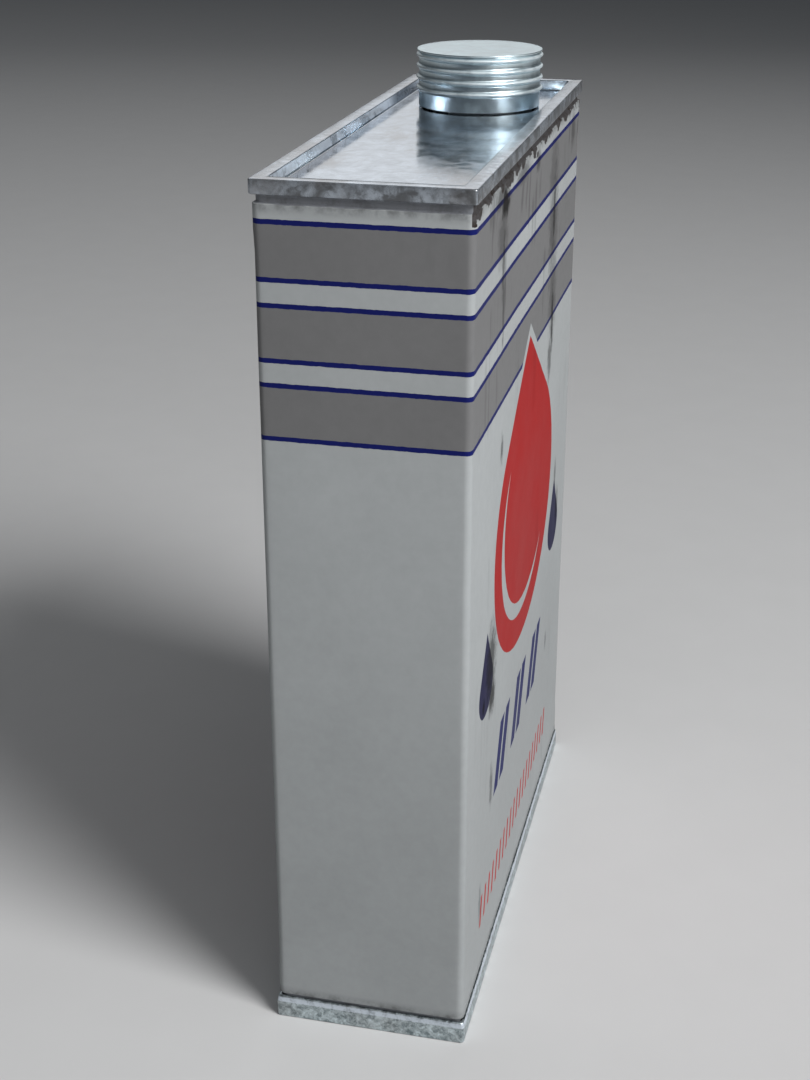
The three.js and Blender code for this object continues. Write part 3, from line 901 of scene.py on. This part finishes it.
def paint_finish():
    """The printed paint: soot, flaked edges, chips, the seam's bare strip, and painted shade low down."""
    material, graph, shader, place = new_material("printed_paint")
    x, y, z = graph.split(place)
    across = graph.times(x, graph.times(graph.math("SIGN", y), -1.0))
    wobble = graph.times(graph.minus(graph.noise(place, 500.0), 0.5), 0.35 * mm)
    height = graph.plus(z, wobble)
    colour = print_colour(graph, graph.plus(across, wobble), height)

    clouds = graph.noise(place, 22.0, detail=5.0, roughness=0.6)
    fine = graph.noise(place, 380.0, detail=4.0)
    # Painted shade: the paint darkens towards the bottom, as the lamp's light falls off lower down.
    painted_falloff = graph.fade(z, 190 * mm, 20 * mm, 0.0, 0.17)
    shade = graph.minus(graph.fade(clouds, 0.25, 0.75, 0.94, 1.03), painted_falloff)
    shade = graph.times(shade, graph.fade(fine, 0.2, 0.8, 0.97, 1.03))
    shade_colour = graph.node("ShaderNodeCombineColor", {0: shade, 1: shade, 2: shade}).outputs[0]
    colour = graph.mix(1.0, colour, shade_colour, "MULTIPLY")

    front = graph.math("LESS_THAN", y, front_limit)
    marks = 0.0
    for left, up, half_width, half_height, strength in front_soot:
        mark = use_group(graph, "smudge", place, across=left * mm, up=up * mm, half_width=half_width * mm,
                         half_height=half_height * mm, strength=strength)[0]
        marks = graph.most(marks, mark)
    marks = graph.times(marks, front)
    runs = use_group(graph, "weeping", place, cover=0.62)[0]
    under_rim = graph.times(graph.fade(z, 150 * mm, 232 * mm, 0.10, 0.5),
                            graph.plus(0.08, graph.times(front, 0.92)))
    marks = graph.most(marks, graph.times(runs, under_rim))
    # The paint also darkens, unevenly, in a band next to each seam: below the top one and above the foot.
    seam_bands = graph.most(graph.fade(z, paint_top - 3 * mm, paint_top),
                       graph.fade(z, paint_foot + 3 * mm, paint_foot))
    seam_bands = graph.times(seam_bands, graph.fade(fine, 0.3, 0.75, 0.1, 0.6))
    marks = graph.most(marks, seam_bands)
    colour = graph.mix(marks, colour, soot)

    ragged = graph.noise(place, 260.0, detail=8.0, roughness=0.72)
    bites = graph.most(graph.minus(graph.noise(place, 110.0, detail=7.0), 0.46), 0.0)
    flaking = graph.times(bites, graph.plus(1 * mm, graph.times(front, 18 * mm)))
    edge = graph.minus(paint_top + 0.2 * mm, flaking)
    bare = graph.most(graph.fade(z, graph.minus(edge, 0.1 * mm), edge),
                      graph.fade(z, paint_foot + 0.1 * mm, paint_foot - 0.1 * mm))
    folds = graph.times(graph.fade(graph.math("ABSOLUTE", x), *fold_x),
                        graph.fade(graph.math("ABSOLUTE", y), *fold_y))
    scuffs = graph.times(folds, graph.fade(ragged, 0.60, 0.70))
    chips = use_group(graph, "rust", place, scale=150.0, cover=0.04)[0]
    bare = graph.most(bare, graph.most(scuffs, chips))
    # Bare metal darkens in ragged patches, and over most of the front.
    bare_darkening = graph.plus(graph.fade(ragged, 0.45, 0.65, 0.0, 0.3), graph.times(front, 0.75),
                         clamp=True)
    metal_colour = graph.mix(bare_darkening, bare_metal, rust_dark)
    strip = graph.times(graph.math("GREATER_THAN", x, body_half.x - 1 * mm),
                        graph.fade(graph.math("ABSOLUTE", y), *strip_side))
    metal_colour = graph.mix(strip, metal_colour, graph.mix(clouds, strip_dark, strip_light))
    bare = graph.most(bare, strip)
    colour = graph.mix(bare, colour, metal_colour)

    rough = graph.plus(graph.fade(clouds, 0.3, 0.7, 0.42, 0.52), graph.times(marks, 0.3))
    relief = graph.minus(graph.times(graph.noise(place, 900.0), 0.25), bare)
    shader.inputs["Specular IOR Level"].default_value = 0.06
    graph.put(shader.inputs["Base Color"], colour)
    graph.put(shader.inputs["Roughness"], graph.mix(bare, rough, (0.6, 0.6, 0.6, 1)))
    graph.put(shader.inputs["Metallic"], graph.times(bare, 0.5))
    graph.put(shader.inputs["Normal"], graph.bump(relief, 0.25, 0.1 * mm))
    return material


paint = paint_finish()
print("paint has", len(paint.node_tree.nodes), "nodes")

# %% [markdown]
# ## Bare tin
#
# Dipped tinplate dulls to a cloudy grey: some patches still mirror, others have gone matt, and brown rust
# starts where water stands. One function makes it for every bare piece, and each piece has its own tone,
# gloss and amount of rust. Some pieces also have a band painted paler as a painted highlight.

# %% Tin materials
def tin_finish(name, dark, light, gloss, matt, scale, rust_cover, grime=0.0, relief=0.12, highlight_zone=None,
               highlight_colour=(0.66, 0.72, 0.80, 1), axis=None):
    """Mottled tin. gloss and matt are its two roughnesses and grime how dirty a seam is. A band given as
    (low, high, near, far), in height and in distance out from the body, gets a painted highlight: it is
    painted in the given light colour and made less metallic. A round piece has its axis, and measures that
    distance from the cap's plain skirt."""
    material, graph, shader, place = new_material(name)
    blotch, crystal, grain = use_group(graph, "mottle", place, scale=scale)
    cloud = graph.plus(graph.times(blotch, 0.6), graph.times(crystal, 0.2))
    cloud = graph.plus(cloud, graph.times(grain, 0.2), clamp=True)
    colour = graph.mix(cloud, dark, light)
    x, y, z = graph.split(place)
    outside = graph.most(graph.minus(graph.math("ABSOLUTE", x), body_half.x),
                         graph.minus(graph.math("ABSOLUTE", y), body_half.y))
    if axis:
        from_axis = graph.node("ShaderNodeVectorMath", {0: place, 1: (axis.x, axis.y, 0)},
                               operation="SUBTRACT")
        flat = graph.stretched(from_axis.outputs[0], (1, 1, 0))
        radius = graph.node("ShaderNodeVectorMath", {0: flat}, operation="LENGTH").outputs["Value"]
        outside = graph.minus(radius, cap_radius)
    stains = graph.noise(graph.stretched(place, (28, 70, 70)), 1.0, detail=6.0, roughness=0.65)
    stains = graph.times(graph.fade(stains, 0.46, 0.66), 2.4 * rust_cover)
    colour = graph.mix(stains, colour, stain_brown)
    rust = use_group(graph, "rust", place, scale=scale * 0.8, cover=rust_cover)[0]
    dirt = graph.plus(graph.fade(outside, chuck_in - 0.2 * mm, chuck_in + 0.2 * mm, 0.0, 0.3),
                      graph.fade(outside, 0.1 * mm, 0.4 * mm, 0.0, 0.7))
    dirt = graph.times(dirt, graph.fade(cloud, 0.2, 0.8, grime, 0.5 * grime))
    colour = graph.mix(dirt, colour, seam_dirt)
    rust_colour = graph.mix(grain, rust_dark, rust_warm)
    colour = graph.mix(graph.times(rust, 0.7), colour, rust_colour)
    worn = graph.most(rust, dirt)
    metal = graph.minus(1.0, graph.times(worn, 0.8))
    # Painted highlight: a band that should catch the light is painted in a pale colour and made less
    # metallic.
    if highlight_zone:
        low, high, near, far = highlight_zone
        above_low = graph.fade(z, low, low + 0.3 * mm)
        highlight_mask = graph.times(above_low, graph.fade(z, high + 0.3 * mm, high))
        highlight_mask = graph.times(highlight_mask, graph.fade(outside, near, near + 0.1 * mm))
        highlight_mask = graph.times(highlight_mask, graph.fade(outside, far + 0.1 * mm, far))
        highlight_mask = graph.times(highlight_mask, graph.fade(cloud, 0.1, 0.6, 0.5, 0.85))
        colour = graph.mix(highlight_mask, colour, highlight_colour)
        metal = graph.minus(metal, graph.times(highlight_mask, 0.55), clamp=True)
    rough = graph.plus(graph.fade(cloud, 0.2, 0.8, gloss, matt), graph.times(worn, 0.25))
    graph.put(shader.inputs["Base Color"], colour)
    graph.put(shader.inputs["Metallic"], metal)
    graph.put(shader.inputs["Roughness"], rough)
    height = graph.plus(graph.times(grain, 0.5), graph.times(blotch, 0.3))
    graph.put(shader.inputs["Normal"], graph.bump(height, relief, 0.1 * mm))
    return material


# Bands with a painted highlight: the top's chuck wall and the foot's upward-facing shoulder.
chuck_wall_highlight = (panel_height + 0.3 * mm, top - 0.5 * mm, chuck_in - 1 * mm, chuck_in + 0.1 * mm)
shoulder_highlight = (skirt + 0.3 * mm, foot_top - 0.5 * mm, -0.2 * mm, wall_out)
top_tin = tin_finish("top_tin", (0.38, 0.43, 0.49, 1), (0.74, 0.82, 0.92, 1), gloss=0.07, matt=0.16,
                     scale=190.0, rust_cover=0.20, grime=0.87, relief=0.06, highlight_zone=chuck_wall_highlight)
foot_tin = tin_finish("foot_tin", (0.05, 0.08, 0.09, 1), (0.80, 0.89, 0.92, 1), gloss=0.30, matt=0.48,
                      scale=520.0, rust_cover=0.08, highlight_zone=shoulder_highlight)
# Painted highlight on the crests of the cap's beads.
bead_crest_highlight = (cap_low.z, cap_high.z - 0.5 * mm, 0.25 * mm, 1 * mm)
cap_tin = tin_finish("cap_tin", (0.60, 0.70, 0.74, 1), (0.76, 0.89, 0.93, 1), gloss=0.30, matt=0.38,
                     scale=190.0, rust_cover=0.03, relief=0.03, highlight_zone=bead_crest_highlight,
                     highlight_colour=(0.84, 0.93, 0.96, 1), axis=cap_centre)
inner_tin = tin_finish("inner_tin", (0.40, 0.42, 0.44, 1), (0.60, 0.62, 0.63, 1), gloss=0.25, matt=0.40,
                       scale=90.0, rust_cover=0.05)
print("tin finishes:", [m.name for m in (top_tin, foot_tin, cap_tin, inner_tin)])

# %% Floor finish
paper, paper_graph, paper_shader, paper_place = new_material("floor_paper")
fibres = paper_graph.noise(paper_place, 40.0, detail=4.0)
paper_graph.put(paper_shader.inputs["Base Color"],
                paper_graph.mix(fibres, (0.60, 0.60, 0.60, 1), (0.63, 0.63, 0.63, 1)))
paper_shader.inputs["Roughness"].default_value = 0.9
floor.data.materials.append(paper)

# %% Plainer finishes
def grained_finish(name, dark, light, rough, scale, metal=0.0, relief=0.2):
    """A finish with a cloudy grain in its colour and its surface."""
    material, graph, shader, place = new_material(name)
    blotch, _, grain = use_group(graph, "mottle", place, scale=scale)
    both = graph.plus(graph.times(blotch, 0.6), graph.times(grain, 0.4))
    graph.put(shader.inputs["Base Color"], graph.mix(both, dark, light))
    graph.put(shader.inputs["Roughness"], graph.fade(grain, 0.2, 0.8, rough, rough + 0.12))
    graph.put(shader.inputs["Normal"], graph.bump(both, relief, 0.1 * mm))
    shader.inputs["Metallic"].default_value = metal
    return material


pulp = grained_finish("waxed_pulpboard", (0.30, 0.20, 0.11, 1), (0.50, 0.37, 0.24, 1), 0.75, 300.0,
                      relief=0.4)
bright_foil = grained_finish("bright_foil", (0.62, 0.63, 0.65, 1), (0.85, 0.86, 0.88, 1), 0.22, 220.0,
                             metal=1.0)
dull_solder = grained_finish("dull_solder", (0.30, 0.31, 0.33, 1), (0.52, 0.54, 0.56, 1), 0.42, 260.0,
                             metal=0.9)
compound = grained_finish("sealing_compound", (0.03, 0.03, 0.028, 1), (0.07, 0.068, 0.06, 1), 0.8, 400.0)

# %% Give each piece its finish
for piece, finish in ((body, paint), (body, inner_tin), (top_end, top_tin), (bottom_end, foot_tin),
                      (cap, cap_tin), (neck, inner_tin), (liner, pulp), (foil, bright_foil),
                      (solder, dull_solder)):
    piece.data.materials.append(finish)
for name, finish in (("top_seam_compound", compound), ("bottom_seam_compound", compound),
                     ("neck_solder", dull_solder), ("cap_thread_sleeve", inner_tin)):
    nodes[name].data.materials.clear()
    nodes[name].data.materials.append(finish)

# %% Put the pieces on their bodies
for piece, rides, node, finish_slot in (
        (body, "can", "body_shell", "painted_body"),
        (top_end, "can", "top_end", "tinplate"),
        (bottom_end, "can", "bottom_end", "tinplate"),
        (solder, "can", "side_seam_solder", "solder"),
        (neck, "can", "neck", "tinplate"),
        (cap, "cap", "cap_shell", "cap_tinplate"),
        (liner, "liner", "cap_liner", "pulpboard"),
        (foil, "liner", "liner_foil", "foil")):
    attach(piece, rides)
    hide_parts(node)
